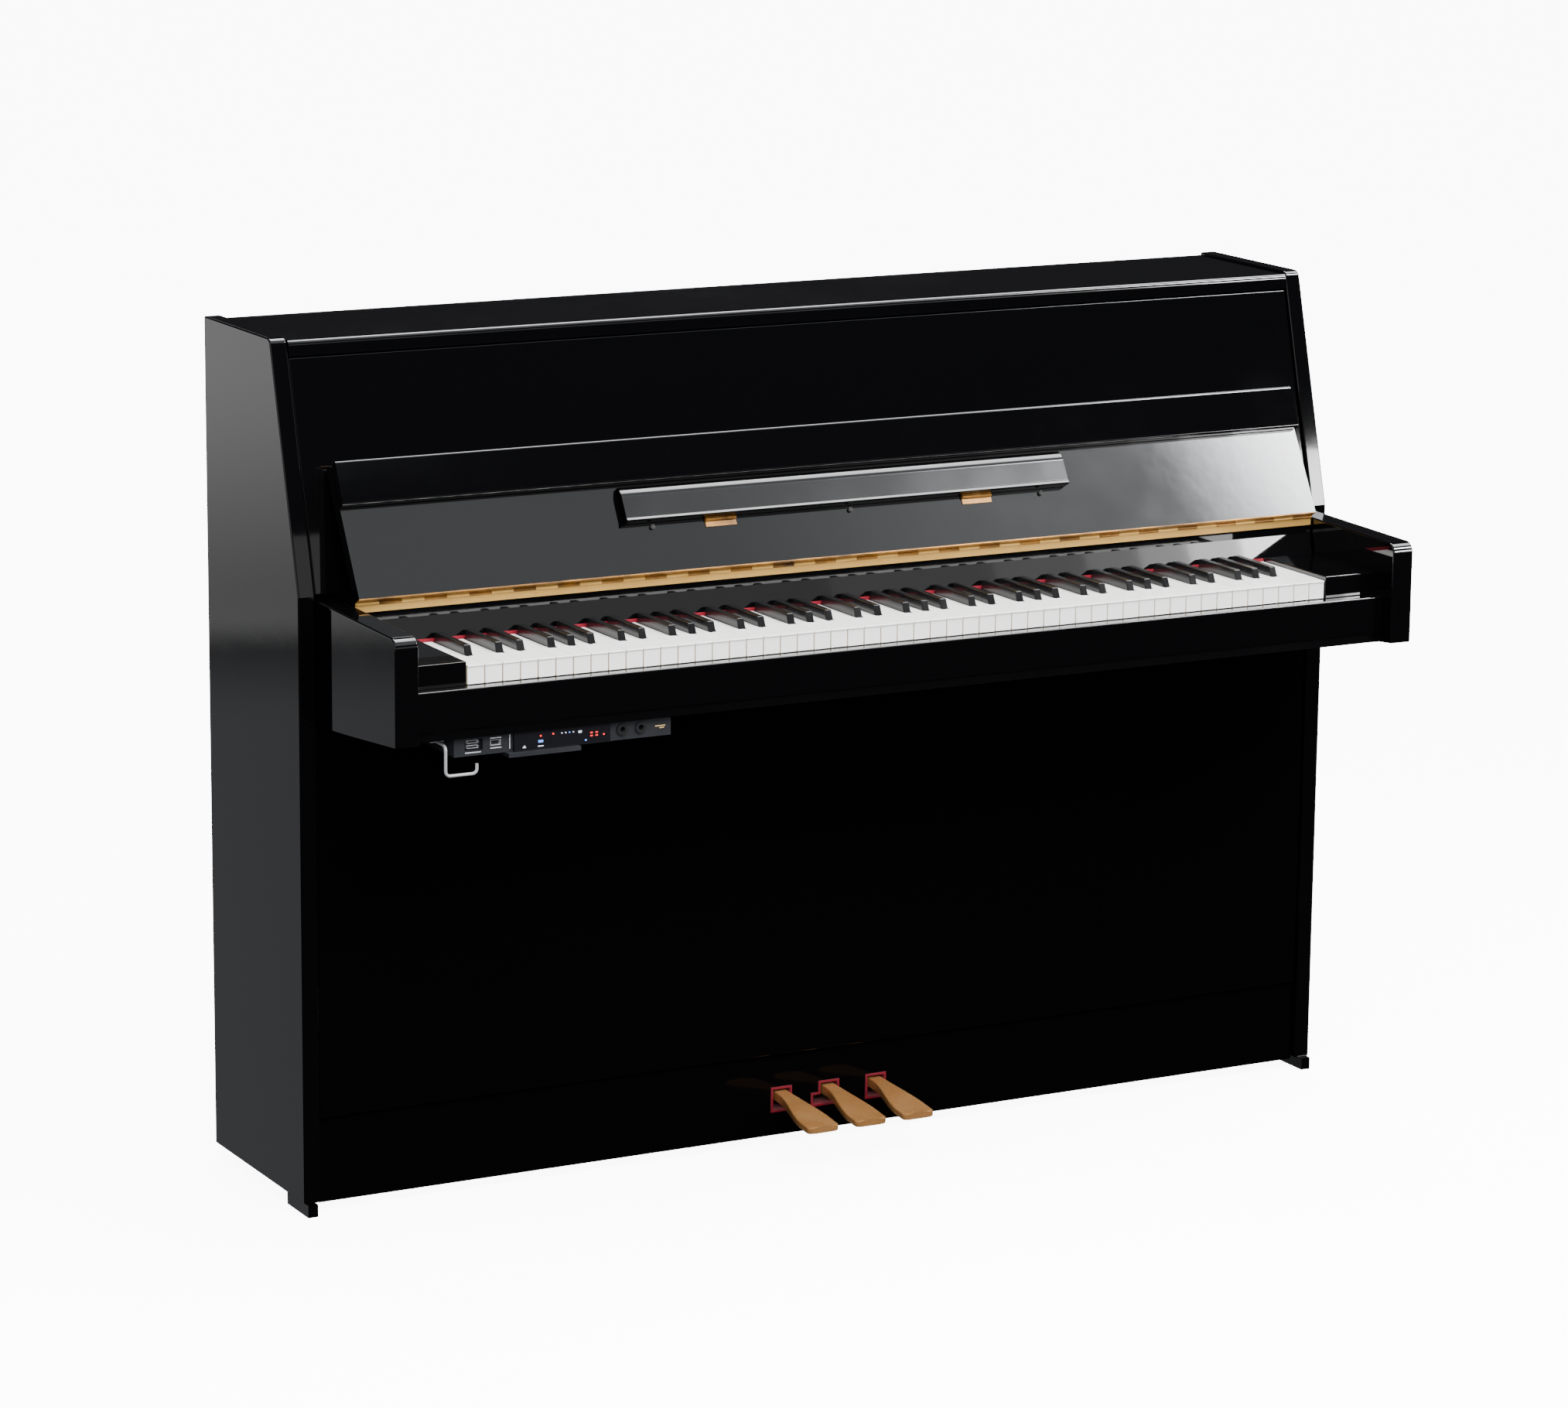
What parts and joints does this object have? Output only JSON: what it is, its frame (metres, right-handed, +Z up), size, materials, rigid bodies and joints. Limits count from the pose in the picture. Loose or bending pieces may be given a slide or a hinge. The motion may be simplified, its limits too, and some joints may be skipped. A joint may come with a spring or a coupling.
{
  "type": "upright piano",
  "caption": "Compact upright piano with a polished black case, folding fallboard and music shelf, sprung keys, brass pedals and a headphone control unit.",
  "frame": {"origin": "on the floor, at the centre of the case seen from above", "axes": "+Z up, +Y towards the back, +X towards the treble end"},
  "size_m": [1.49, 0.53, 1.09],
  "materials": {
    "ebony": "polished black lacquer",
    "bed_wood": "sanded",
    "spruce": "satin varnish",
    "beech": "sanded",
    "plate_bronze": "bronze lacquer",
    "steel": "bright",
    "brass": "polished",
    "pedal_brass": "satin",
    "red_felt": "felt",
    "hammer_felt": "felt",
    "key_white": "polished",
    "key_black": "satin",
    "unit_grey": "fine texture",
    "display_black": "gloss",
    "socket_chrome": "polished",
    "rubber": "matte"
  },
  "bodies": {
    "case": {"action_frame": "bed_wood", "arm_left": "ebony", "arm_right": "ebony", "back_frame": "bed_wood", "bottom_board": "bed_wood", "bridges": "beech", "case_hinge_leaves": "brass", "caster_forks": "steel", "control_display": "display_black", "control_jacks": "socket_chrome", "control_unit": "unit_grey", "dampers": "hammer_felt", "front_feet": "ebony", "hammers": "hammer_felt", "headphone_hook": "steel", "hinge_pins": "brass", "hinge_screws": "brass", "iron_plate": "plate_bronze", "key_bed": "bed_wood", "key_blocks": "ebony", "key_frame": "bed_wood", "key_pins": "steel", "key_slip": "ebony", "lower_front_panel": "ebony", "nameboard": "ebony", "nameboard_felt": "red_felt", "pedal_brackets": "steel", "pedal_collars": "red_felt", "pin_block": "bed_wood", "side_board_left": "ebony", "side_board_right": "ebony", "soundboard": "spruce", "soundboard_ribs": "spruce", "strings": "steel", "toe_rail": "ebony", "tuning_pins": "steel", "upper_front_panel": "ebony", "wippens": "bed_wood"},
    "lid": {"top_lid": "ebony", "lid_hinge_leaves": "brass"},
    "fallboard": {"fallboard": "ebony", "fallboard_leaves": "brass", "rubber_buttons": "rubber"},
    "lip": {"fallboard_lip": "ebony", "lip_leaf": "brass"},
    "shelf": {"music_shelf": "ebony", "shelf_leaves": "brass"},
    "keys_c_e_g": {"keys_c_e_g": "key_white"},
    "keys_d_f_a": {"keys_d_f_a": "key_white"},
    "keys_b": {"keys_b": "key_white"},
    "sharps_c_f_a": {"sharps_c_f_a": "key_black"},
    "sharps_d_g": {"sharps_d_g": "key_black"},
    "pedal_soft": {"pedal_soft": "pedal_brass"},
    "pedal_mute": {"pedal_mute": "pedal_brass"},
    "pedal_sustain": {"pedal_sustain": "pedal_brass"},
    "pedal_rod_soft": {"pedal_rod_soft": "beech"},
    "pedal_rod_mute": {"pedal_rod_mute": "beech"},
    "pedal_rod_sustain": {"pedal_rod_sustain": "beech"},
    "caster_wheel_left": {"caster_wheel_left": "rubber"},
    "caster_wheel_right": {"caster_wheel_right": "rubber"}
  },
  "joints": [
    {"name": "lid_hinge", "type": "hinge", "parent": "case", "child": "lid", "pos_m": [0, 0.2615, 1.0838], "axis": [-1, 0, 0], "range_deg": [0, 95]},
    {"name": "fallboard_hinge", "type": "hinge", "parent": "case", "child": "fallboard", "pos_m": [0, -0.075, 0.78], "axis": [1, 0, 0], "range_deg": [0, 120]},
    {"name": "lip_hinge", "type": "hinge", "parent": "fallboard", "child": "lip", "pos_m": [0, -0.0024, 0.93985], "axis": [-1, 0, 0], "range_deg": [0, 90]},
    {"name": "shelf_hinge", "type": "hinge", "parent": "fallboard", "child": "shelf", "pos_m": [0, -0.05752, 0.84371], "axis": [-1, 0, 0], "range_deg": [-90, 0]},
    {"name": "keys_c_e_g_dip", "type": "hinge", "parent": "case", "child": "keys_c_e_g", "pos_m": [0, -0.04, 0.703], "axis": [1, 0, 0], "range_deg": [0, 3.06], "stiffness_Nm_per_rad": 7.7, "springref_deg": -14.32},
    {"name": "keys_d_f_a_dip", "type": "hinge", "parent": "case", "child": "keys_d_f_a", "pos_m": [0, -0.04, 0.703], "axis": [1, 0, 0], "range_deg": [0, 3.06], "stiffness_Nm_per_rad": 7.7, "springref_deg": -14.32},
    {"name": "keys_b_dip", "type": "hinge", "parent": "case", "child": "keys_b", "pos_m": [0, -0.04, 0.703], "axis": [1, 0, 0], "range_deg": [0, 3.06], "stiffness_Nm_per_rad": 2.8, "springref_deg": -14.32},
    {"name": "sharps_c_f_a_dip", "type": "hinge", "parent": "case", "child": "sharps_c_f_a", "pos_m": [0, -0.04, 0.703], "axis": [1, 0, 0], "range_deg": [0, 3.06], "stiffness_Nm_per_rad": 7.7, "springref_deg": -14.32},
    {"name": "sharps_d_g_dip", "type": "hinge", "parent": "case", "child": "sharps_d_g", "pos_m": [0, -0.04, 0.703], "axis": [1, 0, 0], "range_deg": [0, 3.06], "stiffness_Nm_per_rad": 4.9, "springref_deg": -14.32},
    {"name": "pedal_soft_pivot", "type": "hinge", "parent": "case", "child": "pedal_soft", "pos_m": [0, 0.105, 0.066], "axis": [1, 0, 0], "range_deg": [0, 5], "stiffness_Nm_per_rad": 30, "springref_deg": -5.73},
    {"name": "pedal_mute_pivot", "type": "hinge", "parent": "case", "child": "pedal_mute", "pos_m": [0, 0.105, 0.066], "axis": [1, 0, 0], "range_deg": [0, 5], "stiffness_Nm_per_rad": 30, "springref_deg": -5.73},
    {"name": "pedal_sustain_pivot", "type": "hinge", "parent": "case", "child": "pedal_sustain", "pos_m": [0, 0.105, 0.066], "axis": [1, 0, 0], "range_deg": [0, 5], "stiffness_Nm_per_rad": 30, "springref_deg": -5.73},
    {"name": "pedal_rod_soft_lift", "type": "slide", "parent": "case", "child": "pedal_rod_soft", "axis": [0, 0, 1], "range_m": [0, 0.0042]},
    {"name": "pedal_rod_mute_lift", "type": "slide", "parent": "case", "child": "pedal_rod_mute", "axis": [0, 0, 1], "range_m": [0, 0.0042]},
    {"name": "pedal_rod_sustain_lift", "type": "slide", "parent": "case", "child": "pedal_rod_sustain", "axis": [0, 0, 1], "range_m": [0, 0.0042]},
    {"name": "caster_left_roll", "type": "hinge", "parent": "case", "child": "caster_wheel_left", "pos_m": [-0.6, 0.235, 0.018], "axis": [1, 0, 0], "continuous": true},
    {"name": "caster_right_roll", "type": "hinge", "parent": "case", "child": "caster_wheel_right", "pos_m": [0.6, 0.235, 0.018], "axis": [1, 0, 0], "continuous": true}
  ],
  "couplings": [
    {"joint": "pedal_rod_soft_lift", "follows": "pedal_soft_pivot", "m_per_rad": 0.046},
    {"joint": "pedal_rod_mute_lift", "follows": "pedal_mute_pivot", "m_per_rad": 0.046},
    {"joint": "pedal_rod_sustain_lift", "follows": "pedal_sustain_pivot", "m_per_rad": 0.046}
  ]
}
